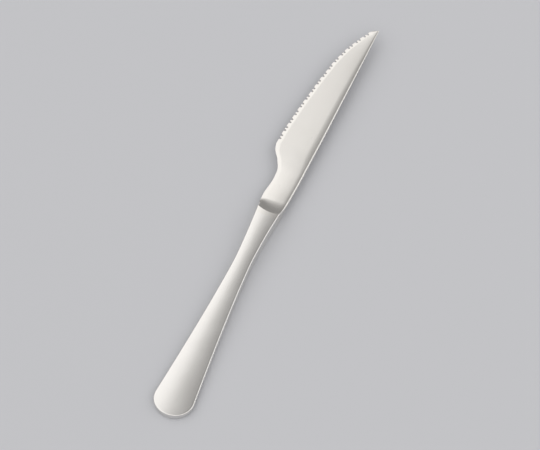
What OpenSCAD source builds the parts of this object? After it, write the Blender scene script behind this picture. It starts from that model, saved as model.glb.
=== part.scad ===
// Meat knife with a serrated blade and a hollow handle.
// The blade is one forging with its bolster and tang. Two pressed halves, soldered along
// the middle plane, make the handle, and cement holds the tang inside them.
// Each piece is drawn along the axis of the handle: X runs from the butt to the tip,
// Y towards the cutting edge and Z up from the middle plane. The knife is then laid
// on the underside of its handle, with the origin below the middle of its box.

/* [Handle] */
// Length of the two pressed halves, from the butt to the bolster
handle_length = 109.4; // [103:0.1:115]
// Width across the butt
butt_width = 18.5; // [16.4:0.1:20]
// Length of the round end of the butt
butt_round = 9.5; // [8:0.5:11]
// Thickness at the butt
butt_thickness = 3.2; // [3:0.1:3.8]
// Width across the waist
waist_width = 8.3; // [7.4:0.1:9]
// Distance of the waist from the butt
waist_place = 84; // [78:1:90]
// Distance of the handle's middle line from the axis, towards the spine
handle_shift = 0.2; // [0.1:0.05:0.3]
// Radius of the rounded shoulder round both faces
shoulder_radius = 0.6; // [0.5:0.05:1.2]
// Sheet thickness of the pressed halves
sheet = 0.8; // [0.6:0.05:0.85]
// Depth of the flat that polishing leaves along the underside
rest_depth = 0.05; // [0.04:0.01:0.07]

/* [Bolster] */
// Length of the bolster's collar between the handle and the step, along the axis
collar_length = 2.2; // [2.1:0.1:3]
// Reach of the collar from the axis towards the cutting edge
neck_edge_reach = 5.25; // [5:0.05:5.8]
// Reach of the collar from the axis towards the spine
neck_spine_reach = 5.9; // [5.4:0.05:6.4]
// Thickness of the collar
neck_thickness = 7.2; // [6.4:0.1:8]
// How far the step runs forward at the sides, past its middle
step_bow = 1.5; // [1:0.1:2]
// Length of the hollow ramp from the step down to the blade, along the axis
ramp_length = 8; // [6:0.25:9]

/* [Blade] */
// Length from the step to the tip
blade_length = 113.7; // [106:0.1:121]
// Thickness at the foot of the ramp
blade_thickness = 2.2; // [1.8:0.1:2.6]
// Thickness at the tip
tip_thickness = 1; // [1:0.05:1.4]
// Reach of the spine from the axis at the tip
tip_spine_reach = 8.3; // [7.6:0.1:9]
// Width of the blunted tip
tip_width = 0.9; // [0.6:0.1:1.2]
// Distance of the swell from the step
swell_place = 9.7; // [9.1:0.1:10.5]
// Reach of the swell from the axis
swell_reach = 6.1; // [5.8:0.1:6.4]
// Distance of the hollow before the heel from the step
choil_place = 20.7; // [19:0.1:22.5]
// Reach of that hollow from the axis
choil_reach = 5.05; // [4.7:0.05:5.5]
// Thickness of the blunt edge in the hollow
choil_thickness = 0.8; // [0.6:0.05:1.1]
// Thickness of the blade above the slope to that edge
choil_slope_thickness = 1.3; // [1.2:0.05:1.6]
// Distance of the heel from the step
heel_place = 38.7; // [37:0.1:41]
// Reach of the heel from the axis
heel_reach = 11.4; // [10.6:0.1:12.2]

/* [Cutting edge] */
// Width of the ground bevel
bevel_width = 1.8; // [1.4:0.1:2.2]
// Thickness of the blade at the top of the bevel
bevel_thickness = 0.8; // [0.7:0.05:0.9]
// Thickness of the cutting edge
edge_thickness = 0.24; // [0.15:0.01:0.3]
// Number of pairs of flutes
pair_count = 15; // [12:1:15]
// Distance from one pair of flutes to the next
pair_pitch = 5; // [4.8:0.05:5.1]
// Distance of the first pair from the tip, along the edge
first_pair = 6.3; // [6:0.1:7]
// Distance between the two flutes of a pair
flute_spacing = 1.85; // [1.7:0.05:2]
// Radius of a flute
flute_radius = 0.6; // [0.5:0.05:0.75]
// Depth of a flute in the cutting edge
flute_depth = 0.45; // [0.35:0.05:0.55]
// Slope of a flute to the middle plane, in degrees
flute_slope = 32; // [28:1:36]

/* [Tang] */
// Length of the bolster's spigot inside the handle
spigot_length = 4; // [3:0.5:5]
// Gap round the spigot
spigot_gap = 0.05; // [0.04:0.01:0.1]
// Length of the tang behind the spigot
tang_length = 44; // [36:1:48]
// Width of the tang at the spigot
tang_root_width = 5; // [4.4:0.1:5.2]
// Width of the tang at its end
tang_end_width = 3.4; // [3:0.1:3.8]
// Thickness of the tang
tang_thickness = 1.8; // [1.5:0.1:2]
// Diameter of the keying holes in the tang
key_hole = 1.6; // [1.2:0.1:1.8]
// Length of cement behind the end of the tang
cement_past_tang = 5; // [3:0.5:8]
// Width of the solder inside the seam
solder_width = 0.5; // [0.4:0.05:0.6]
// Height of the solder inside the seam
solder_height = 0.7; // [0.5:0.05:0.8]

/* [Hidden] */
$fn = 48;

// Lean of the flanks of each pressed half, as a share of their height
lean_share = 0.02;
// Lean of the blade's spine and edge, as a share of half their thickness
spine_lean_share = 0.06;
// Power that sets the fullness of the round end, 2 being an ellipse
round_share = 1.95;
// Rise of a handle face as a share of its half width
crown_share = 0.05;
// Greatest share of the height of a side that its rounded shoulder takes
bend_share = 0.9;
// Powers that bend the tapers to the waist and to the neck
waist_taper_share = 1.38;
edge_taper_share = 1.5;
spine_taper_share = 1.8;
// Slant of the step across the knife, as a share of the distance from the axis
step_slant_share = 0.1;
// Power that bends the ramp from the step to the blade
ramp_share = 1.6;
// Spine, as shares of the blade's length and of the rise from the neck to the tip
spine_shares = [[0.11, 0.35], [0.26, 0.58], [0.6, 0.85]];
// Rise of the heel, as shares of the way from the hollow to the heel
heel_shares = [[0.44, 0.34], [0.66, 0.745], [0.83, 0.945]];
// Belly of the edge, as shares of the way from the heel to the tip
belly_shares = [[0.2, 0.066], [0.4, 0.174], [0.6, 0.303], [0.75, 0.445], [0.87, 0.635], [0.95, 0.798],
    [0.985, 0.894]];
// Where grinding begins, as a share of the way from the hollow to the heel
grind_share = 0.3;
// The bevel's greatest width, as a share of the blade's width
bevel_share = 0.4;
// Place of the blade's thickest line, as a share of the way from the bevel to the spine
crest_share = 0.86;
// Powers that bend the face from the bevel up to that line, at the foot of the ramp, past the
// heel and at the tip, and how late the last one sets in
face_shares = [2, 1.15, 2];
tip_face_share = 4;
// Power that keeps the blade's thickness until near the tip
taper_share = 2.4;
// Fall of each face from that line to the spine, as a share of the blade's width
fall_share = 0.007;
// Radius of the corners of the spine, and its greatest share of half the thickness
spine_corner = 0.8;
corner_share = 0.85;
// Power that crowds the sections towards the tip
crowd_share = 1.5;
// Places of the keying holes, as shares of the tang's length
key_shares = [0.35, 0.7];
// Height of the solder's inner side, as a share of its outer
solder_share = 0.6;
// How far a cut or a joint runs past its face
overrun = 1;
// Number of sections along each stretch, and of points across a shoulder and a face
end_steps = 10;
handle_steps = 22;
collar_steps = 2;
ramp_steps = 8;
choil_steps = 5;
heel_steps = 14;
belly_steps = 36;
shoulder_steps = 3;
face_steps = 6;

step_x = handle_length + collar_length;
foot_x = step_x + ramp_length;
choil_x = step_x + choil_place;
heel_x = step_x + heel_place;
tip_x = step_x + blade_length;
spigot_x = handle_length - spigot_length;
tang_x = spigot_x - tang_length;
tip_edge = tip_width - tip_spine_reach;
rest_tilt = atan((neck_thickness - butt_thickness) / 2 / step_x);
inner_radius = max(shoulder_radius - sheet, sheet / 4);
shoulder_turn = 90 - atan(2 * crown_share);

function mix(a, b, t) = a + (b - a) * t;
function limit(t) = min(max(t, 0), 1);
function ease(t) = t * t * (3 - 2 * t);
function steps(a, b, n) = [for (i = [1:n]) mix(a, b, i / n)];
function backwards(list) = [for (i = [len(list) - 1:-1:0]) list[i]];
function mirrored(points) = [for (p = points) [p[0], p[1], -p[2]]];

// A smooth curve through points in order of x
function slope_at(points, i) =
    let (a = points[max(i - 1, 0)], b = points[min(i + 1, len(points) - 1)])
    (b[1] - a[1]) / (b[0] - a[0]);
function curve(points, x) =
    let (
        i = max([for (k = [0:len(points) - 2]) if (k == 0 || x >= points[k][0]) k]),
        run = points[i + 1][0] - points[i][0],
        t = limit((x - points[i][0]) / run),
        ahead = points[i][1] + slope_at(points, i) * run * t,
        behind = points[i + 1][1] - slope_at(points, i + 1) * run * (1 - t)
    )
    mix(ahead, behind, ease(t));

// Outline: side 1 is the cutting edge's and side -1 the spine's
spine_line = concat(
    [[step_x, neck_spine_reach]],
    [for (s = spine_shares) [mix(step_x, tip_x, s[0]), mix(neck_spine_reach, tip_spine_reach, s[1])]],
    [[tip_x, tip_spine_reach]]);
edge_line = concat(
    [[step_x, neck_edge_reach], [step_x + swell_place, swell_reach], [choil_x, choil_reach]],
    [for (s = heel_shares) [mix(choil_x, heel_x, s[0]), mix(choil_reach, heel_reach, s[1])]],
    [[heel_x, heel_reach]],
    [for (s = belly_shares) [mix(heel_x, tip_x, s[0]), mix(heel_reach, tip_edge, s[1])]],
    [[tip_x, tip_edge]]);
function edge_y(x) = curve(edge_line, x);
function round_end(x) =
    x < butt_round ? pow(1 - pow(1 - x / butt_round, round_share), 1 / round_share) : 1;
function butt_body(x) =
    let (taper = pow((waist_place - x) / (waist_place - butt_round), waist_taper_share))
    mix(waist_width, butt_width, taper) / 2;
function neck_reach(x, side) =
    let (
        end = side > 0 ? neck_edge_reach : neck_spine_reach,
        taper = side > 0 ? edge_taper_share : spine_taper_share
    )
    mix(waist_width / 2 - side * handle_shift, end, pow((x - waist_place) / (step_x - waist_place), taper));
function reach(x, side) =
    x < waist_place ? butt_body(x) * round_end(x) - side * handle_shift
    : x <= step_x ? neck_reach(x, side)
    : curve(side > 0 ? edge_line : spine_line, x);
function handle_half(x) = mix(butt_thickness, neck_thickness, min(x / step_x, 1)) / 2;

// A point at a depth inside the outline, square to it. Towards the bolster the direction
// turns square to the axis, so that the end sections are flat.
function inside(x, side, depth, z) =
    let (
        step = butt_round / 1000,
        rise = (reach(x + step, side) - reach(x - step, side)) / step / 2,
        turn = atan(rise) * max(1 - x / handle_length, 0)
    )
    [x + sin(turn) * depth, side * (reach(x, side) - cos(turn) * depth), z];

// Upper half of a handle section, from the edge side's seam over the face to the spine side's.
// wall is the depth below the outer surface. The face is part of a barrel, and the round end
// of the butt is cut out of it.
function face_rise(x, wall) =
    let (
        half = (reach(x, 1) + reach(x, -1)) / 2,
        body = x < butt_round ? butt_body(x) : half
    )
    crown_share * pow(max(half - wall, 0), 2) / body;
function side_height(x, wall) = handle_half(x) - wall - face_rise(x, wall);
function bend_of(x, wall) =
    min(wall > 0 ? inner_radius : shoulder_radius, side_height(x, wall) * bend_share);
function flank_top(x, wall) = side_height(x, wall) - bend_of(x, wall) * sin(shoulder_turn);
function shoulder(x, side, wall) =
    let (bend = bend_of(x, wall), top = flank_top(x, wall))
    [for (i = [0:shoulder_steps])
        let (a = shoulder_turn * i / shoulder_steps)
        inside(x, side, wall + top * lean_share + bend * (1 - cos(a)), top + bend * sin(a))];
function face(a, b, rise) =
    [for (i = [1:face_steps - 1])
        let (u = i / face_steps, across = 2 * u - 1)
        mix(a, b, u) + [0, 0, rise * (1 - across * across)]];
function handle_row(x, wall) =
    let (edge_side = shoulder(x, 1, wall), spine_side = shoulder(x, -1, wall))
    concat(
        [inside(x, 1, wall, 0)],
        edge_side,
        face(edge_side[shoulder_steps], spine_side[shoulder_steps], face_rise(x, wall)),
        backwards(spine_side),
        [inside(x, -1, wall, 0)]);

// Upper half of a blade section, with as many points as a handle section: bevel, face, spine
function grind(x) =
    ease(limit((x - mix(choil_x, heel_x, grind_share)) / (heel_x - choil_x) / (1 - grind_share)));
function crest_half(x) =
    mix(blade_thickness, tip_thickness, pow(limit((x - foot_x) / (tip_x - foot_x)), taper_share)) / 2;
function face_bend(x) =
    x < heel_x ? mix(face_shares[0], face_shares[1], limit((x - foot_x) / (heel_x - foot_x)))
    : mix(face_shares[1], face_shares[2], pow((x - heel_x) / (tip_x - heel_x), tip_face_share));
function blade_row(x) =
    let (
        edge = reach(x, 1),
        spine = -reach(x, -1),
        width = min(bevel_width, (edge - spine) * bevel_share),
        edge_half = mix(choil_thickness, edge_thickness, grind(x)) / 2,
        bevel_half = mix(choil_slope_thickness, bevel_thickness, grind(x)) / 2,
        swell = crest_half(x) - bevel_half,
        bend = face_bend(x),
        fall = (edge - spine) * fall_share,
        spine_half = bevel_half + swell - fall,
        corner = min(spine_corner, spine_half * corner_share, (edge - spine) / 4),
        inner = spine + corner + (spine_half - corner) * spine_lean_share
    )
    concat(
        [[x, edge, 0]],
        [for (i = [0:shoulder_steps])
            let (u = i / shoulder_steps, in = mix(edge_half * spine_lean_share, width, u))
            [x, edge - in, mix(edge_half, bevel_half, u)]],
        [for (i = [1:face_steps - 1])
            let (
                u = i / face_steps,
                before = max(1 - u / crest_share, 0),
                past = max(u - crest_share, 0) / (1 - crest_share)
            )
            [x, mix(edge - width, inner, u),
                bevel_half + swell * (1 - pow(before, bend)) - fall * past * past]],
        [for (i = [shoulder_steps:-1:0])
            let (a = 90 * i / shoulder_steps)
            [x, inner - corner * cos(a), spine_half - corner * (1 - sin(a))]],
        [[x, spine, 0]]);

// A section of the collar, t from -1 at the handle to 0 at the step, or of the ramp, t from 0
// to 1 at its foot. The step crosses the knife in a bow, at a slight slant, and the ramp sinks
// from the collar's section to the blade's, steepest at the step.
function forged_row(t) =
    let (across = handle_row(step_x, 0))
    [for (i = [0:len(across) - 1])
        let (
            y = across[i][1],
            step = step_x + step_slant_share * y + step_bow * pow(y / neck_spine_reach, 2),
            x = t < 0 ? mix(handle_length, step, t + 1) : mix(step, foot_x, t),
            sunk = 1 - pow(1 - max(t, 0), ramp_share)
        )
        mix(handle_row(x, 0)[i], blade_row(x)[i], sunk)];

// A closed solid through rings of the same number of points. Each ring runs over the upper
// half and back under the lower, so its first and middle points lie on the middle plane.
function ring(row) = concat(row, mirrored([for (i = [len(row) - 2:-1:1]) row[i]]));
function shifted(faces, by) = [for (f = faces) [for (v = f) v + by]];
function reversed(faces) = [for (f = faces) backwards(f)];

// End faces of a ring, in upright strips
function upright_ends(n) =
    [for (i = [0:n / 2 - 1])
        let (a = i, b = i + 1, c = (n - i - 1) % n, d = (n - i) % n)
        each concat(i > 0 ? [[a, b, d]] : [], b < c ? [[b, c, d]] : [])];
// Level strips across the sides of a row of m points, and a fan over its face
function level_ends(m) =
    let (fan = shoulder_steps)
    concat(
        [for (i = [0:fan - 1])
            each [[i, i + 1, m - 1 - i], [i + 1, m - 2 - i, m - 1 - i]]],
        [for (k = [fan + 1:m - 3 - fan]) [fan, k, k + 1]],
        [[fan, m - 2 - fan, m - 1 - fan]]);
function level_ring_ends(m) =
    let (n = 2 * m - 2, upper = level_ends(m))
    concat(upper, reversed([for (f = upper) [for (v = f) (n - v) % n]]));

module loft(rings, ends) {
    n = len(rings[0]);
    sides = [for (r = [0:len(rings) - 2], i = [0:n - 1])
        let (a = r * n + i, b = r * n + (i + 1) % n)
        each [[a, a + n, b], [b, a + n, b + n]]];
    polyhedron(
        points = [for (r = rings) each r],
        faces = concat(sides, ends, shifted(reversed(ends), (len(rings) - 1) * n)));
}

// A pressed half: an outer and an inner skin of rows, joined along the seam and at the bolster.
// The first row closes the round end of the butt.
module pressed_half(outer, inner) {
    n = len(outer[0]);
    rows = len(outer);
    all = rows * n;
    last = all - n;
    skin = [for (r = [0:rows - 2], i = [0:n - 2])
        let (a = r * n + i, b = a + 1)
        each [[a, a + n, b], [b, a + n, b + n],
            [all + a, all + b, all + a + n], [all + b, all + b + n, all + a + n]]];
    seam = [for (r = [0:rows - 2])
        let (a = r * n, b = a + n - 1)
        each [[a, all + a, a + n], [a + n, all + a, all + a + n],
            [b, b + n, all + b], [b + n, all + b + n, all + b]]];
    butt = concat(
        level_ends(n),
        shifted(reversed(level_ends(n)), all),
        [[0, n - 1, all], [n - 1, all + n - 1, all]]);
    mouth = [for (i = [0:n - 2])
        let (a = last + i, b = a + 1)
        each [[a, all + a, b], [b, all + a, all + b]]];
    polyhedron(
        points = concat([for (r = outer) each r], [for (r = inner) each r]),
        faces = concat(skin, seam, butt, mouth));
}

handle_stations = concat(
    [for (i = [0:end_steps - 1]) butt_round * (1 - cos(90 * (i + 1 / 2) / end_steps))],
    [butt_round],
    steps(butt_round, handle_length, handle_steps));
forged_stations = concat(steps(-1, 0, collar_steps), steps(0, 1, ramp_steps));
blade_stations = concat(
    steps(foot_x, choil_x, choil_steps),
    steps(choil_x, heel_x, heel_steps),
    [for (t = steps(0, 1, belly_steps)) mix(heel_x, tip_x, 1 - pow(1 - t, crowd_share))]);

module upper_half() {
    pressed_half(
        [for (x = handle_stations) handle_row(x, 0)],
        [for (x = handle_stations) handle_row(x, sheet)]);
}

// The place of the knife on the table
module lie() {
    translate([
        -tip_x * cos(rest_tilt) / 2,
        (butt_width / 2 + handle_shift - heel_reach) / 2,
        butt_thickness / 2 * cos(rest_tilt) - rest_depth])
        rotate([0, -rest_tilt, 0]) children();
}
module below_table() {
    translate([-tip_x, -heel_reach * 2, -neck_thickness])
        cube([tip_x * 2, heel_reach * 4, neck_thickness]);
}

// Arc length of the cutting edge from the tip, against x
edge_marks = steps(tip_x, choil_x, belly_steps * 4);
edge_run = [for (
    i = 0, s = 0, x = tip_x;
    i < len(edge_marks);
    s = s + norm([edge_marks[i] - x, edge_y(edge_marks[i]) - edge_y(x)]),
    x = edge_marks[i],
    i = i + 1) [s, x]];
module flute(run) {
    x = lookup(run, edge_run);
    step = bevel_width / 10;
    lean = atan((edge_y(x + step) - edge_y(x - step)) / step / 2);
    sink = -edge_thickness / 2 - flute_depth * tan(flute_slope) + flute_radius / cos(flute_slope);
    translate([x, edge_y(x), sink])
        rotate([0, 0, lean])
        rotate([90 - flute_slope, 0, 0])
        translate([0, 0, -overrun])
        cylinder(h = overrun + blade_thickness / sin(flute_slope), r = flute_radius);
}
module serration() {
    for (i = [0:pair_count - 1], side = [-1, 1])
        flute(first_pair + i * pair_pitch + side * flute_spacing / 2);
}

module tang() {
    difference() {
        translate([0, 0, -tang_thickness / 2])
            linear_extrude(height = tang_thickness) {
                polygon([
                    [tang_x + tang_end_width / 2, -tang_end_width / 2],
                    [spigot_x + spigot_length / 2, -tang_root_width / 2],
                    [spigot_x + spigot_length / 2, tang_root_width / 2],
                    [tang_x + tang_end_width / 2, tang_end_width / 2]]);
                translate([tang_x + tang_end_width / 2, 0]) circle(d = tang_end_width);
            }
        for (s = key_shares)
            translate([mix(spigot_x, tang_x, s), 0, -tang_thickness])
                cylinder(h = tang_thickness * 2, d = key_hole);
    }
}

// The forging: tang, spigot, collar, ramps and blade, with the flutes ground into the edge
module blade() {
    inset = sheet + spigot_gap;
    rings = concat(
        [for (x = [spigot_x, handle_length]) ring(handle_row(x, inset))],
        [ring(handle_row(handle_length, 0))],
        [for (t = forged_stations) ring(forged_row(t))],
        [for (x = blade_stations) ring(blade_row(x))]);
    color([0.8, 0.79, 0.77])
        difference() {
            lie() {
                difference() {
                    union() {
                        loft(rings, upright_ends(len(rings[0])));
                        tang();
                    }
                    serration();
                }
            }
            below_table();
        }
}

module upper_handle_shell() {
    color([0.84, 0.83, 0.81]) lie() upper_half();
}

module lower_handle_shell() {
    color([0.74, 0.73, 0.72])
        difference() {
            lie() mirror([0, 0, 1]) upper_half();
            below_table();
        }
}

// The solder lies in the corner of the seam, from one side of the neck round the butt to the
// other. It narrows inwards.
function solder_half(x) = min(solder_height / 2, flank_top(x, sheet));
function solder_row(x, side) =
    let (z = solder_half(x), foot = sheet + z * lean_share, far = sheet + solder_width)
    [inside(x, side, foot, z), inside(x, side, sheet, 0), inside(x, side, foot, -z),
        inside(x, side, far, -z * solder_share), inside(x, side, far, z * solder_share)];
module seam_solder() {
    stations = concat([for (x = handle_stations) if (x < spigot_x) x], [spigot_x]);
    rows = concat(
        [for (x = backwards(stations)) solder_row(x, 1)],
        [for (x = stations) solder_row(x, -1)]);
    n = len(rows[0]);
    last = (len(rows) - 1) * n;
    sides = [for (r = [0:len(rows) - 2], i = [0:n - 1])
        let (a = r * n + i, b = r * n + (i + 1) % n)
        each [[a, a + n, b], [b, a + n, b + n]]];
    ends = [[for (i = [0:n - 1]) i], [for (i = [n - 1:-1:0]) last + i]];
    color([0.7, 0.7, 0.68])
        lie() polyhedron(points = [for (r = rows) each r], faces = concat(sides, ends));
}

// Cement fills the front of the handle round the tang, clear of the solder
function cement_side(x, side) =
    let (z = solder_half(x), foot = sheet + z * lean_share, far = sheet + solder_width)
    concat(
        [inside(x, side, far, 0), inside(x, side, far, z * solder_share), inside(x, side, foot, z)],
        shoulder(x, side, sheet));
function cement_row(x) =
    let (a = cement_side(x, 1), b = cement_side(x, -1), top = len(a) - 1)
    concat(a, face(a[top], b[top], face_rise(x, sheet)), backwards(b));
module tang_cement() {
    back_x = tang_x - cement_past_tang;
    between = [for (x = handle_stations) if (x > back_x + overrun && x < spigot_x - overrun) x];
    color([0.62, 0.6, 0.56])
        lie() difference() {
            loft(
                [for (x = concat([back_x], between, [spigot_x])) ring(cement_row(x))],
                level_ring_ends(len(cement_row(back_x))));
            tang();
        }
}

blade();
upper_handle_shell();
lower_handle_shell();
tang_cement();
seam_solder();
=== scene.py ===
import math

import bmesh
import bpy
import numpy as np
from mathutils import Matrix, Vector


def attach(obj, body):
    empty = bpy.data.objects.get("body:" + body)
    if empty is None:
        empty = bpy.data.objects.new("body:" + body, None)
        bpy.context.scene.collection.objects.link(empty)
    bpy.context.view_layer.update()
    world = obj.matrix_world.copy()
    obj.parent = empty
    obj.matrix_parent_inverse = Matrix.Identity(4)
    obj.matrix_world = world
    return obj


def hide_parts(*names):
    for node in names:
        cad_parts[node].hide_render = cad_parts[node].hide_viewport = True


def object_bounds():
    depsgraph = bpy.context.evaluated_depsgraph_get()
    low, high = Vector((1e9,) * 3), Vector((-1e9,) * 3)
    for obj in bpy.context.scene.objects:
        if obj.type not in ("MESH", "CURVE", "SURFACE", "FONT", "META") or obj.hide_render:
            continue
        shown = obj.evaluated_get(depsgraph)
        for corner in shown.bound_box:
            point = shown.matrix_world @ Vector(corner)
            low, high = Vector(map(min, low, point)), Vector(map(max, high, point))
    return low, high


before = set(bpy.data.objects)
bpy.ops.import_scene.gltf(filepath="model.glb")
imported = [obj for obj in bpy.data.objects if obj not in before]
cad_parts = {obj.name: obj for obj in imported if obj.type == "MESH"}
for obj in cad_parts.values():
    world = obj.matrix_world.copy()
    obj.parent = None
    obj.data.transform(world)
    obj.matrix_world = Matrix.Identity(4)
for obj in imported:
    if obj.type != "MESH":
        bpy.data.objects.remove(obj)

cad_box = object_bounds()

# Meat knife: its forging and the two pressed halves of its handle, built from the sizes of the
# solids with finer sections, and the steel, the floor, the light and the camera.

# Camera, in metres
# It looks down at 57.5 degrees from the butt's side, as found from the photograph.
ELEVATION = math.radians(57.5)
HEADING = math.radians(23.273)
DISTANCE = 1.400
TARGET = Vector((-0.00333, -0.00336, 0.0))
SENSOR = 36.0
IMAGE_WIDTH = 540
PIXELS_PER_MM = 2.207
forward = Vector((
    math.cos(HEADING) * math.cos(ELEVATION),
    math.sin(HEADING) * math.cos(ELEVATION),
    -math.sin(ELEVATION)))
camera_data = bpy.data.cameras.new("camera")
camera = bpy.data.objects.new("camera", camera_data)
bpy.context.scene.collection.objects.link(camera)
camera.location = TARGET - forward * DISTANCE
camera.rotation_euler = forward.to_track_quat("-Z", "Y").to_euler()
camera_data.sensor_fit = "HORIZONTAL"
camera_data.sensor_width = SENSOR
camera_data.lens = SENSOR * PIXELS_PER_MM * DISTANCE * 1000 / IMAGE_WIDTH
camera_data.clip_start = 0.05
camera_data.clip_end = 50.0
bpy.context.scene.camera = camera

# Handle, in millimetres as all sizes up to the meshes
# X runs along its axis from the butt to the tip, Y towards the cutting edge, and Z up from its
# middle plane.
HANDLE = 109.4
BUTT_WIDTH = 18.5
BUTT_ROUND = 9.5
BUTT_THICK = 3.2
WAIST = 84.0
WAIST_WIDTH = 8.3
SHOULDER = 0.6
SHEET = 0.8
# How far the handle's middle line lies towards the spine
SHIFT = 0.2
# Depth of the polished flat that the knife rests on
REST = 0.05

# Bolster: a collar, a bowed step and a ramp down to the blade
COLLAR = 2.2
NECK_EDGE = 5.25
NECK_SPINE = 5.9
NECK_THICK = 7.2
BOW = 1.5
RAMP = 8.0

# Blade
# A place counts from the step along the axis, and a reach from the axis outwards.
BLADE = 113.7
BLADE_THICK = 2.2
TIP_THICK = 1.0
TIP_WIDTH = 0.9
TIP_SPINE_REACH = 8.3
SWELL = 9.7
SWELL_REACH = 6.1
CHOIL = 20.7
CHOIL_REACH = 5.05
CHOIL_THICK = 0.8
CHOIL_SLOPE_THICK = 1.3
HEEL = 38.7
HEEL_REACH = 11.4
CORNER = 0.8

# Cutting edge, with its pairs of flutes counted from the tip
BEVEL = 1.8
BEVEL_THICK = 0.8
EDGE_THICK = 0.24
PAIRS = 15
PITCH = 5.0
FIRST_PAIR = 6.3
SPACING = 1.85
FLUTE_RADIUS = 0.6
FLUTE_DEPTH = 0.45
FLUTE_SLOPE = math.radians(32.0)

# Spigot and tang inside the handle
SPIGOT = 4.0
SPIGOT_GAP = 0.05
TANG = 44.0
TANG_ROOT = 5.0
TANG_END = 3.4
TANG_THICK = 1.8
KEY_HOLE = 1.6
KEY_SHARES = (0.35, 0.7)

# Shares and powers that shape the handle and the bolster
BUTT_POWER = 1.95
WAIST_TAPER = 1.38
EDGE_TAPER = 1.5
SPINE_TAPER = 1.8
CROWN = 0.05
LEAN = 0.02
BEND = 0.9
SLANT = 0.1
RAMP_POWER = 1.6

# Shares and powers that shape the blade
# Each pair is a share of the way along a stretch of the outline, and a share of its rise.
SPINE_SHARES = ((0.11, 0.35), (0.26, 0.58), (0.6, 0.85))
HEEL_SHARES = ((0.44, 0.34), (0.66, 0.745), (0.83, 0.945))
BELLY_SHARES = (
    (0.2, 0.066), (0.4, 0.174), (0.6, 0.303), (0.75, 0.445), (0.87, 0.635), (0.95, 0.798),
    (0.985, 0.894))
GRIND = 0.3
BEVEL_SHARE = 0.4
CREST = 0.86
FALL = 0.007
TAPER = 2.4
# Powers that bend the face at the foot of the ramp, past the heel and at the tip
FACE_POWERS = (2.0, 1.15, 2.0)
TIP_FACE_POWER = 4.0
SPINE_LEAN = 0.06
CORNER_SHARE = 0.85

# Fineness of the meshes: steps round a shoulder and across a face, sections along each stretch,
# marks along the edge, and sides of the round bars
ARC = 8
ACROSS = 28
BUTT_STEPS = 40
HANDLE_STEPS = 120
COLLAR_STEPS = 4
RAMP_STEPS = 28
CHOIL_STEPS = 16
HEEL_STEPS = 40
BELLY_STEPS = 120
EDGE_MARKS = 144
TANG_SIDES = 48
KEY_SIDES = 32
FLUTE_SIDES = 96
# Turn of the first section round the butt's end, in degrees, and the rest of its quarter turn
BUTT_START = 4.5
BUTT_SWEEP = 85.5
# Power that crowds the sections towards the tip
CROWD = 1.5
# How far a flute's cutter starts below the edge
OVERRUN = 1.0
# Half width and depth of the block that grinds the flat
GRINDER = (30, 8)
# Angles from which an edge of the handle or of the blade looks crisp, in degrees
HANDLE_CRISP = 28.0
BLADE_CRISP = 20.0
# Distances under which points are one, and faces are nothing, in metres
SAME_POINT = 2e-7
NO_FACE = 1e-7

STEP = HANDLE + COLLAR
FOOT = STEP + RAMP
CHOIL_X = STEP + CHOIL
HEEL_X = STEP + HEEL
TIP = STEP + BLADE
SPIGOT_X = HANDLE - SPIGOT
TANG_X = SPIGOT_X - TANG
TIP_EDGE_REACH = TIP_WIDTH - TIP_SPINE_REACH
TILT = math.atan((NECK_THICK - BUTT_THICK) / 2 / STEP)
TURN = math.pi / 2 - math.atan(2 * CROWN)


def mix(a, b, t):
    return a + (b - a) * t


def limit(t):
    return min(max(t, 0.0), 1.0)


def ease(t):
    return t * t * (3 - 2 * t)


def steps(a, b, n):
    """The ends of n equal steps from a to b."""
    return [mix(a, b, i / n) for i in range(1, n + 1)]


def curve(points, x):
    """The same smooth curve through points that the solids use."""
    i = max([k for k in range(len(points) - 1) if k == 0 or x >= points[k][0]])
    run = points[i + 1][0] - points[i][0]
    t = limit((x - points[i][0]) / run)

    def slope(k):
        a, b = points[max(k - 1, 0)], points[min(k + 1, len(points) - 1)]
        return (b[1] - a[1]) / (b[0] - a[0])

    ahead = points[i][1] + slope(i) * run * t
    behind = points[i + 1][1] - slope(i + 1) * run * (1 - t)
    return mix(ahead, behind, ease(t))


# Outline: side 1 is the cutting edge's and side -1 the spine's
SPINE_LINE = (
    [(STEP, NECK_SPINE)]
    + [(mix(STEP, TIP, a), mix(NECK_SPINE, TIP_SPINE_REACH, b)) for a, b in SPINE_SHARES]
    + [(TIP, TIP_SPINE_REACH)])
EDGE_LINE = (
    [(STEP, NECK_EDGE), (STEP + SWELL, SWELL_REACH), (CHOIL_X, CHOIL_REACH)]
    + [(mix(CHOIL_X, HEEL_X, a), mix(CHOIL_REACH, HEEL_REACH, b)) for a, b in HEEL_SHARES]
    + [(HEEL_X, HEEL_REACH)]
    + [(mix(HEEL_X, TIP, a), mix(HEEL_REACH, TIP_EDGE_REACH, b)) for a, b in BELLY_SHARES]
    + [(TIP, TIP_EDGE_REACH)])


def edge_y(x):
    return curve(EDGE_LINE, x)


def butt_body(x):
    """Half the handle's width, as if its butt had no round end."""
    return mix(WAIST_WIDTH, BUTT_WIDTH, ((WAIST - x) / (WAIST - BUTT_ROUND)) ** WAIST_TAPER) / 2


def round_end(x):
    if x >= BUTT_ROUND:
        return 1.0
    return max(1 - (1 - max(x, 0.0) / BUTT_ROUND) ** BUTT_POWER, 0.0) ** (1 / BUTT_POWER)


def reach(x, side):
    if x < WAIST:
        return butt_body(x) * round_end(x) - side * SHIFT
    if x <= STEP:
        t = (x - WAIST) / (STEP - WAIST)
        if side > 0:
            return mix(WAIST_WIDTH / 2 - SHIFT, NECK_EDGE, t ** EDGE_TAPER)
        return mix(WAIST_WIDTH / 2 + SHIFT, NECK_SPINE, t ** SPINE_TAPER)
    return curve(EDGE_LINE if side > 0 else SPINE_LINE, x)


def handle_half(x):
    return mix(BUTT_THICK, NECK_THICK, min(x / STEP, 1.0)) / 2


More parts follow.
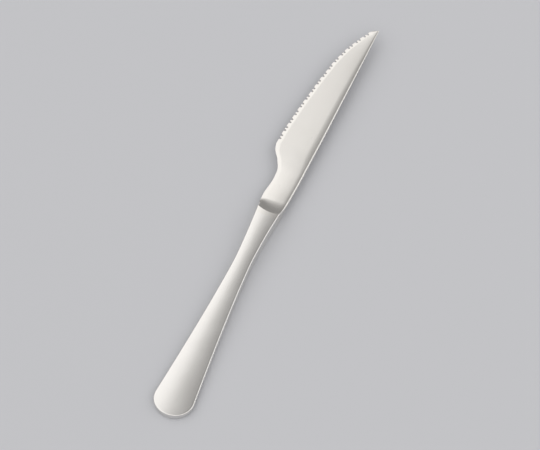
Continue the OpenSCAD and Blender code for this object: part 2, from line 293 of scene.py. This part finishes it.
def inside(x, side, depth, z):
    """A point at a depth inside the outline, square to it. Towards the bolster the direction turns
    square to the axis, so that the end sections are flat."""
    step = BUTT_ROUND / 1000
    rise = (reach(x + step, side) - reach(x - step, side)) / step / 2
    turn = math.atan(rise) * max(1 - x / HANDLE, 0.0)
    return (x + math.sin(turn) * depth, side * (reach(x, side) - math.cos(turn) * depth), z)


# Sections
def handle_row(x, wall):
    """Upper half of a handle section at a depth of wall below the surface, from the edge side's
    seam over the face to the spine side's."""
    half = (reach(x, 1) + reach(x, -1)) / 2
    body = butt_body(x) if x < BUTT_ROUND else half
    rise = CROWN * max(half - wall, 0.0) ** 2 / body
    height = handle_half(x) - wall - rise
    bend = min(SHOULDER if wall == 0 else max(SHOULDER - SHEET, SHEET / 4), height * BEND)
    top = height - bend * math.sin(TURN)

    def shoulder(side):
        points = []
        for i in range(ARC + 1):
            a = TURN * i / ARC
            depth = wall + top * LEAN + bend * (1 - math.cos(a))
            points.append(inside(x, side, depth, top + bend * math.sin(a)))
        return points

    edge_side = shoulder(1)
    spine_side = shoulder(-1)
    a = edge_side[-1]
    b = spine_side[-1]
    face = []
    for i in range(1, ACROSS):
        u = i / ACROSS
        w = 2 * u - 1
        face.append((mix(a[0], b[0], u), mix(a[1], b[1], u), mix(a[2], b[2], u) + rise * (1 - w * w)))
    return [inside(x, 1, wall, 0.0)] + edge_side + face + spine_side[::-1] + [inside(x, -1, wall, 0.0)]


def blade_row(x):
    """Upper half of a blade section: bevel, face and spine."""
    edge = reach(x, 1)
    spine = -reach(x, -1)
    width = min(BEVEL, (edge - spine) * BEVEL_SHARE)
    ground = ease(limit((x - mix(CHOIL_X, HEEL_X, GRIND)) / (HEEL_X - CHOIL_X) / (1 - GRIND)))
    edge_half = mix(CHOIL_THICK, EDGE_THICK, ground) / 2
    bevel_half = mix(CHOIL_SLOPE_THICK, BEVEL_THICK, ground) / 2
    crest = mix(BLADE_THICK, TIP_THICK, limit((x - FOOT) / (TIP - FOOT)) ** TAPER) / 2
    swell = crest - bevel_half
    bend = mix(FACE_POWERS[0], FACE_POWERS[1], limit((x - FOOT) / (HEEL_X - FOOT)))
    bend = mix(bend, FACE_POWERS[2], limit((x - HEEL_X) / (TIP - HEEL_X)) ** TIP_FACE_POWER)
    fall = (edge - spine) * FALL
    spine_half = bevel_half + swell - fall
    corner = min(CORNER, spine_half * CORNER_SHARE, (edge - spine) / 4)
    inner = spine + corner + (spine_half - corner) * SPINE_LEAN
    row = [(x, edge, 0.0)]
    for i in range(ARC + 1):
        u = i / ARC
        row.append((x, edge - mix(edge_half * SPINE_LEAN, width, u), mix(edge_half, bevel_half, u)))
    for i in range(1, ACROSS):
        u = i / ACROSS
        before = max(1 - u / CREST, 0)
        past = max(u - CREST, 0) / (1 - CREST)
        height = bevel_half + swell * (1 - before ** bend) - fall * past * past
        row.append((x, mix(edge - width, inner, u), height))
    for i in range(ARC, -1, -1):
        a = math.pi / 2 * i / ARC
        row.append((x, inner - corner * math.cos(a), spine_half - corner * (1 - math.sin(a))))
    return row + [(x, spine, 0.0)]


def forged_row(t):
    """A section of the collar, t from -1 to 0 at the bowed step, or of the ramp, t from 0 to 1."""
    row = []
    sunk = 1 - (1 - max(t, 0)) ** RAMP_POWER
    for i, p in enumerate(handle_row(STEP, 0)):
        step = STEP + SLANT * p[1] + BOW * (p[1] / NECK_SPINE) ** 2
        x = mix(HANDLE, step, t + 1) if t < 0 else mix(step, FOOT, t)
        a = handle_row(x, 0)[i]
        b = blade_row(x)[i]
        row.append(tuple(mix(p, q, sunk) for p, q in zip(a, b)))
    return row


def ring(row):
    """A row and its mirror image below the middle plane."""
    return row + [(p[0], p[1], -p[2]) for p in row[-2:0:-1]]


# Meshes
LIE = (
    Matrix.Translation((
        -TIP * math.cos(TILT) / 2,
        (BUTT_WIDTH / 2 + SHIFT - HEEL_REACH) / 2,
        BUTT_THICK / 2 * math.cos(TILT) - REST))
    @ Matrix.Rotation(-TILT, 4, "Y"))
TO_METRES = Matrix.Scale(0.001, 4)


def mesh_object(name, points, faces):
    mesh = bpy.data.meshes.new(name)
    mesh.from_pydata([tuple(p) for p in points], [], faces)
    mesh.validate()
    made = bpy.data.objects.new(name, mesh)
    bpy.context.scene.collection.objects.link(made)
    bm = bmesh.new()
    bm.from_mesh(mesh)
    bmesh.ops.recalc_face_normals(bm, faces=bm.faces)
    bm.to_mesh(mesh)
    bm.free()
    return made


def loft(name, rings):
    """A closed solid through rings of the same number of points, with ends of upright strips."""
    n = len(rings[0])
    faces = []
    for r in range(len(rings) - 1):
        for i in range(n):
            a = r * n + i
            b = r * n + (i + 1) % n
            faces.append((a, b, b + n, a + n))
    last = (len(rings) - 1) * n
    for base in (0, last):
        for i in range(n // 2):
            # The outermost strips are triangles, so a point that repeats is left out
            strip = dict.fromkeys((i, i + 1, (n - i - 1) % n, (n - i) % n))
            faces.append(tuple(base + k for k in strip))
    return mesh_object(name, [p for r in rings for p in r], faces)


def cut(target, tool, kind="DIFFERENCE"):
    """A boolean that is applied at once. The tool is removed."""
    modifier = target.modifiers.new("cut", "BOOLEAN")
    modifier.operation = kind
    modifier.solver = "EXACT"
    modifier.use_self = True
    modifier.object = tool
    graph = bpy.context.evaluated_depsgraph_get()
    result = bpy.data.meshes.new_from_object(target.evaluated_get(graph))
    target.modifiers.clear()
    old = target.data
    target.data = result
    result.name = target.name
    bpy.data.meshes.remove(old)
    bpy.data.objects.remove(tool, do_unlink=True)


def joined(name, objects):
    points = []
    faces = []
    for o in objects:
        base = len(points)
        points += [tuple(o.matrix_world @ v.co) for v in o.data.vertices]
        faces += [tuple(base + i for i in p.vertices) for p in o.data.polygons]
        bpy.data.objects.remove(o, do_unlink=True)
    return mesh_object(name, points, faces)


def bar(name, length, radius, sides, place):
    """A round bar along Z from 0 to length, moved by the matrix place."""
    points = []
    faces = []
    for z in (0.0, length):
        for i in range(sides):
            a = 2 * math.pi * i / sides
            points.append(place @ Vector((radius * math.cos(a), radius * math.sin(a), z)))
    for i in range(sides):
        j = (i + 1) % sides
        faces.append((i, j, sides + j, sides + i))
    faces.append(tuple(range(sides - 1, -1, -1)))
    faces.append(tuple(range(sides, 2 * sides)))
    return mesh_object(name, points, faces)


def block(name, low, high):
    points = [(x, y, z) for x in (low[0], high[0]) for y in (low[1], high[1]) for z in (low[2], high[2])]
    faces = [(0, 1, 3, 2), (4, 6, 7, 5), (0, 4, 5, 1), (2, 3, 7, 6), (0, 2, 6, 4), (1, 5, 7, 3)]
    return mesh_object(name, points, faces)


def lay_down(piece, grind_flat=True):
    """Puts a piece, drawn along the handle's axis, in its place on the table, in metres."""
    piece.data.transform(LIE)
    if grind_flat:
        half_width, depth = GRINDER
        cut(piece, block("table", (-TIP, -half_width, -depth), (TIP, half_width, 0)))
    piece.data.transform(TO_METRES)


def finish_piece(piece, node, crisp):
    """Shades a piece smooth with crisp corners, keeps it in the solids' box and hangs it on the
    frame."""
    mesh = piece.data
    bm = bmesh.new()
    bm.from_mesh(mesh)
    bmesh.ops.remove_doubles(bm, verts=bm.verts, dist=SAME_POINT)
    bmesh.ops.dissolve_degenerate(bm, edges=bm.edges, dist=NO_FACE)
    for v in bm.verts:
        for k in range(3):
            v.co[k] = min(max(v.co[k], cad_box[0][k]), cad_box[1][k])
    for face in bm.faces:
        face.smooth = True
    for edge in bm.edges:
        edge.smooth = len(edge.link_faces) != 2 or edge.calc_face_angle(0.0) < math.radians(crisp)
    bm.to_mesh(mesh)
    bm.free()
    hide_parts(node)
    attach(piece, "root")


# The forging
def forging_rings():
    inset = SHEET + SPIGOT_GAP
    rows = [handle_row(x, inset) for x in (SPIGOT_X, HANDLE)]
    rows.append(handle_row(HANDLE, 0))
    rows += [forged_row(t) for t in steps(-1, 0, COLLAR_STEPS) + steps(0, 1, RAMP_STEPS)]
    belly = [mix(HEEL_X, TIP, 1 - (1 - t) ** CROWD) for t in steps(0, 1, BELLY_STEPS)]
    stations = steps(FOOT, CHOIL_X, CHOIL_STEPS) + steps(CHOIL_X, HEEL_X, HEEL_STEPS) + belly
    rows += [blade_row(x) for x in stations]
    return [ring(row) for row in rows]


def make_tang():
    """The flat tang behind the spigot, with a round end and two keying holes."""
    end = TANG_X + TANG_END / 2
    half = TANG_THICK / 2
    # Its half width starts as 1, and each end is then scaled to its own
    tang = block("tang", (end, -1, -half), (SPIGOT_X + SPIGOT / 2, 1, half))
    for v in tang.data.vertices:
        v.co.y *= (TANG_END if v.co.x < TANG_X + TANG_END else TANG_ROOT) / 2
    place = Matrix.Translation((end, 0, -half))
    cut(tang, bar("tang_end", TANG_THICK, TANG_END / 2, TANG_SIDES, place), "UNION")
    keys = []
    for share in KEY_SHARES:
        place = Matrix.Translation((mix(SPIGOT_X, TANG_X, share), 0, -TANG_THICK))
        keys.append(bar("key", TANG_THICK * 2, KEY_HOLE / 2, KEY_SIDES, place))
    cut(tang, joined("keys", keys))
    return tang


def make_flutes():
    """Cutters for the flutes, which are ground into the upper face at right angles to the curve of
    the edge. Their places are lengths along the edge, counted from the tip."""
    marks = [(0.0, TIP)]
    run = 0.0
    x = TIP
    for nx in steps(TIP, CHOIL_X, EDGE_MARKS):
        run += math.hypot(nx - x, edge_y(nx) - edge_y(x))
        x = nx
        marks.append((run, x))
    runs = np.array(marks)
    step = BEVEL / 10
    tilt = Matrix.Rotation(math.pi / 2 - FLUTE_SLOPE, 4, "X")
    length = OVERRUN + BLADE_THICK / math.sin(FLUTE_SLOPE)
    sink = -EDGE_THICK / 2 - FLUTE_DEPTH * math.tan(FLUTE_SLOPE) + FLUTE_RADIUS / math.cos(FLUTE_SLOPE)
    flutes = []
    for i in range(PAIRS):
        for side in (-1, 1):
            run = FIRST_PAIR + i * PITCH + side * SPACING / 2
            x = float(np.interp(run, runs[:, 0], runs[:, 1]))
            lean = math.atan((edge_y(x + step) - edge_y(x - step)) / step / 2)
            place = (
                Matrix.Translation((x, edge_y(x), sink)) @ Matrix.Rotation(lean, 4, "Z")
                @ tilt @ Matrix.Translation((0, 0, -OVERRUN)))
            flutes.append(bar("flute", length, FLUTE_RADIUS, FLUTE_SIDES, place))
    return joined("flutes", flutes)


blade = loft("blade_forging", forging_rings())
cut(blade, make_tang(), "UNION")
cut(blade, make_flutes())
lay_down(blade)


# The two pressed halves
def pressed_half(name):
    """The upper half: an outer and an inner skin of rows, joined along the seam and at both ends."""
    places = []
    for i in range(BUTT_STEPS):
        turn = math.radians(BUTT_START + BUTT_SWEEP * i / BUTT_STEPS)
        places.append(BUTT_ROUND * (1 - math.cos(turn)))
    places += [BUTT_ROUND] + steps(BUTT_ROUND, HANDLE, HANDLE_STEPS)
    outer = [handle_row(x, 0) for x in places]
    inner = [handle_row(x, SHEET) for x in places]
    n = len(outer[0])
    rows = len(outer)
    every = rows * n
    last = every - n
    faces = []
    for r in range(rows - 1):
        for i in range(n - 1):
            a = r * n + i
            b = a + 1
            faces.append((a, a + n, b + n, b))
            faces.append((every + a, every + b, every + b + n, every + a + n))
        for a in (r * n, r * n + n - 1):
            faces.append((a, every + a, every + a + n, a + n))
    for base in (0, every):
        for i in range(ARC):
            faces.append((base + i, base + i + 1, base + n - 2 - i, base + n - 1 - i))
        faces.append(tuple(base + k for k in range(ARC, n - ARC)))
    faces.append((0, n - 1, every + n - 1, every))
    for i in range(n - 1):
        faces.append((last + i, last + i + 1, every + last + i + 1, every + last + i))
    return mesh_object(name, [p for r in outer + inner for p in r], faces)


upper = pressed_half("handle_upper_half")
lay_down(upper, grind_flat=False)
lower = pressed_half("handle_lower_half")
lower.data.transform(Matrix.Scale(-1, 4, Vector((0, 0, 1))))
lower.data.flip_normals()
lay_down(lower)

finish_piece(blade, "blade", BLADE_CRISP)
finish_piece(upper, "upper_handle_shell", HANDLE_CRISP)
finish_piece(lower, "lower_handle_shell", HANDLE_CRISP)


# Materials
class Tree:
    """A little help for writing node trees."""

    def __init__(self, name):
        self.material = bpy.data.materials.new(name)
        self.material.use_nodes = True
        self.nodes = self.material.node_tree.nodes
        self.links = self.material.node_tree.links
        self.shader = self.nodes["Principled BSDF"]
        self.place = self.nodes.new("ShaderNodeTexCoord").outputs["Object"]

    def put(self, kind, sockets, **settings):
        """A node with its settings made, and a value or a wire for each of the named sockets."""
        node = self.nodes.new(kind)
        for key, value in settings.items():
            setattr(node, key, value)
        for key, value in sockets.items():
            if isinstance(value, bpy.types.NodeSocket):
                self.links.new(value, node.inputs[key])
            else:
                node.inputs[key].default_value = value
        return node

    def set(self, name, value):
        """The same value all over the surface."""
        self.shader.inputs[name].default_value = value

    def wire(self, name, socket):
        self.links.new(socket, self.shader.inputs[name])

    def noise(self, scale, stretch=(1, 1, 1), turn=0.0, detail=3.0, rough=0.55, distortion=0.0):
        mapped = self.put("ShaderNodeMapping", {
            "Vector": self.place, "Scale": stretch, "Rotation": (0, 0, turn)})
        made = self.put("ShaderNodeTexNoise", {
            "Vector": mapped.outputs[0], "Scale": scale, "Detail": detail,
            "Roughness": rough, "Distortion": distortion})
        return made.outputs["Fac"]

    def ramp(self, value, low, high, to_low=0.0, to_high=1.0):
        made = self.put("ShaderNodeMapRange", {
            "Value": value, "From Min": low, "From Max": high, "To Min": to_low, "To Max": to_high})
        return made.outputs[0]

    def math(self, operation, a, b):
        return self.put("ShaderNodeMath", {0: a, 1: b}, operation=operation).outputs[0]

    def colours(self, value, low, high):
        made = self.put("ShaderNodeMix", {0: value, 6: (*low, 1), 7: (*high, 1)}, data_type="RGBA")
        return made.outputs[2]

    def bump(self, height, strength, distance):
        made = self.put("ShaderNodeBump", {
            "Height": height, "Strength": strength, "Distance": distance})
        self.wire("Normal", made.outputs[0])


def steel(name, turn, dark, light, smooth, rough, grain):
    """Polished stainless steel with the fine lines that the last belt leaves, along the X axis
    turned by turn, faint wear scratches and a little unevenness of the polish. Its colour lies
    between dark and light, and its roughness between smooth and rough."""
    tree = Tree(name)
    tree.set("Metallic", 1.0)
    tree.set("IOR", 2.5)
    lines = tree.noise(1.0, stretch=(90, 5200, 5200), turn=turn, detail=4.0, rough=0.6)
    coarse = tree.noise(1.0, stretch=(30, 1300, 1300), turn=turn, detail=2.0, rough=0.5)
    haze = tree.noise(55.0, detail=4.0, rough=0.6, distortion=0.4)
    blotch = tree.noise(240.0)
    scratch = tree.noise(
        1.0, stretch=(160, 2600, 2600), turn=turn + 0.5, detail=2.0, rough=0.5, distortion=0.3)
    scratches = tree.ramp(scratch, 0.70, 0.76)
    tone = tree.math("ADD", tree.math("MULTIPLY", haze, 0.6), tree.math("MULTIPLY", lines, 0.4))
    tree.wire("Base Color", tree.colours(tree.ramp(tone, 0.35, 0.65), dark, light))
    roughness = tree.ramp(haze, 0.3, 0.7, smooth, rough)
    roughness = tree.math("ADD", roughness, tree.ramp(blotch, 0.3, 0.7, -0.012, 0.012))
    roughness = tree.math("ADD", roughness, tree.ramp(lines, 0.3, 0.7, -0.02, 0.02))
    roughness = tree.math("ADD", roughness, tree.math("MULTIPLY", scratches, 0.05))
    tree.wire("Roughness", roughness)
    height = tree.math("ADD", lines, tree.math("MULTIPLY", coarse, 0.5))
    height = tree.math("SUBTRACT", height, tree.math("MULTIPLY", scratches, 0.6))
    tree.bump(height, grain, 0.00001)
    return tree.material


def cement():
    tree = Tree("cement")
    grains = tree.noise(1800.0, detail=4.0, rough=0.7)
    tone = tree.ramp(grains, 0.3, 0.7)
    tree.wire("Base Color", tree.colours(tone, (0.42, 0.40, 0.36), (0.64, 0.62, 0.57)))
    tree.wire("Roughness", tree.ramp(grains, 0.3, 0.7, 0.75, 0.95))
    tree.bump(grains, 0.5, 0.0001)
    return tree.material


def solder():
    tree = Tree("solder")
    tree.set("Metallic", 1.0)
    flow = tree.noise(700.0, distortion=0.8)
    tone = tree.ramp(flow, 0.3, 0.7)
    tree.wire("Base Color", tree.colours(tone, (0.56, 0.56, 0.55), (0.74, 0.74, 0.73)))
    tree.wire("Roughness", tree.ramp(flow, 0.3, 0.7, 0.3, 0.5))
    tree.bump(flow, 0.4, 0.0001)
    return tree.material


handle_steel = steel(
    "handle_steel", turn=0.0, dark=(0.79, 0.775, 0.755), light=(0.84, 0.83, 0.81),
    smooth=0.15, rough=0.20, grain=0.25)
blade_steel = steel(
    "blade_steel", turn=1.45, dark=(0.79, 0.77, 0.74), light=(0.84, 0.825, 0.795),
    smooth=0.18, rough=0.24, grain=0.3)
for piece, material in (
        (blade, blade_steel), (upper, handle_steel), (lower, handle_steel),
        (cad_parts["tang_cement"], cement()), (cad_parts["seam_solder"], solder())):
    piece.data.materials.clear()
    piece.data.materials.append(material)

# Floor
FLOOR_REACH = 15
floor_mesh = bpy.data.meshes.new("floor")
floor_mesh.from_pydata(
    [(x * FLOOR_REACH, y * FLOOR_REACH, 0) for x, y in ((-1, -1), (1, -1), (1, 1), (-1, 1))],
    [], [(0, 1, 2, 3)])
floor = bpy.data.objects.new("floor", floor_mesh)
bpy.context.scene.collection.objects.link(floor)
floor_paint = Tree("floor")
floor_paint.set("Base Color", (0.60, 0.61, 0.64, 1))
floor_paint.set("Roughness", 0.9)
floor_paint.set("Specular IOR Level", 0.1)
floor.data.materials.append(floor_paint.material)

# The world is the studio's tent. Each part of it glows by where a direction points: a large soft
# box over the edge's side, by the angle to its axis, a smaller one past the spine's side, white
# cloth behind the butt, and all of them weaker towards the horizon, where a grey is left.
KEY_AXIS = (0.0, 0.898, 0.439)
KEY_STOPS = (
    (0.36, 0.02), (0.42, 0.08), (0.50, 0.22), (0.585, 0.43), (0.635, 0.70), (0.69, 0.89),
    (0.80, 0.90))
BRIGHTEST = 0.9
# How much brighter the boxes are towards the tip's end of the tent
END_FROM, END_TO, END = 0.45, 0.53, 1.20
FILL_FROM, FILL_TO, FILL = -0.20, -0.45, 0.85
CLOTH_FROM, CLOTH_TO, CLOTH = 0.10, -0.40, 0.85
LOW, HIGH, HORIZON = 0.20, 0.50, 0.295
WARMTH = (1.0, 0.985, 0.97, 1)

world = bpy.data.worlds.new("world")
bpy.context.scene.world = world
world.use_nodes = True
sky = world.node_tree.nodes
wires = world.node_tree.links


def sky_range(value, low, high, to_low, to_high):
    """A smooth change from to_low to to_high where value goes from low to high."""
    made = sky.new("ShaderNodeMapRange")
    made.interpolation_type = "SMOOTHSTEP"
    for k, v in enumerate((low, high, to_low, to_high)):
        made.inputs[k + 1].default_value = v
    wires.new(value, made.inputs[0])
    return made.outputs[0]


def sky_math(operation, a, b):
    made = sky.new("ShaderNodeMath")
    made.operation = operation
    for k, v in enumerate((a, b)):
        if isinstance(v, float):
            made.inputs[k].default_value = v
        else:
            wires.new(v, made.inputs[k])
    return made.outputs[0]


direction = sky.new("ShaderNodeTexCoord").outputs["Generated"]
parts = sky.new("ShaderNodeSeparateXYZ")
wires.new(direction, parts.inputs[0])
along, across, up = parts.outputs
towards = sky.new("ShaderNodeVectorMath")
towards.operation = "DOT_PRODUCT"
wires.new(direction, towards.inputs[0])
towards.inputs[1].default_value = KEY_AXIS
key_box = sky.new("ShaderNodeValToRGB")
wires.new(towards.outputs["Value"], key_box.inputs[0])
stops = key_box.color_ramp.elements
while len(stops) < len(KEY_STOPS):
    stops.new(1.0)
for stop, (place, value) in zip(stops, KEY_STOPS):
    stop.position = place
    stop.color = (value, value, value, 1)
cloth = sky_range(along, CLOTH_TO, CLOTH_FROM, CLOTH, 0.0)
fill = sky_range(across, FILL_TO, FILL_FROM, FILL, 0.0)
soft = sky_math("MAXIMUM", sky_math("MAXIMUM", key_box.outputs[0], cloth), fill)
soft = sky_math("MULTIPLY", soft, sky_range(along, END_FROM, END_TO, 1.0, END))
soft = sky_math("MINIMUM", soft, BRIGHTEST)
strength = sky_math("ADD", sky_math("MULTIPLY", soft, sky_range(up, LOW, HIGH, 0.0, 1.0)), HORIZON)
sky["Background"].inputs["Color"].default_value = WARMTH
wires.new(strength, sky["Background"].inputs["Strength"])

# A low strip lamp past the spine's side draws the light line along the spine
RIM_PLACE = Vector((1.05, -1.2, 0.20))
RIM_WIDTH = 2.2
RIM_HEIGHT = 0.26
RIM_RADIANCE = 1.5
rim_data = bpy.data.lights.new("rim", "AREA")
rim_data.shape = "RECTANGLE"
rim_data.size = RIM_WIDTH
rim_data.size_y = RIM_HEIGHT
rim_data.energy = RIM_RADIANCE * math.pi * RIM_WIDTH * RIM_HEIGHT
rim = bpy.data.objects.new("rim", rim_data)
bpy.context.scene.collection.objects.link(rim)
rim.location = RIM_PLACE
rim.rotation_euler = (-RIM_PLACE).to_track_quat("-Z", "Y").to_euler()

bpy.context.scene.view_settings.view_transform = "Standard"
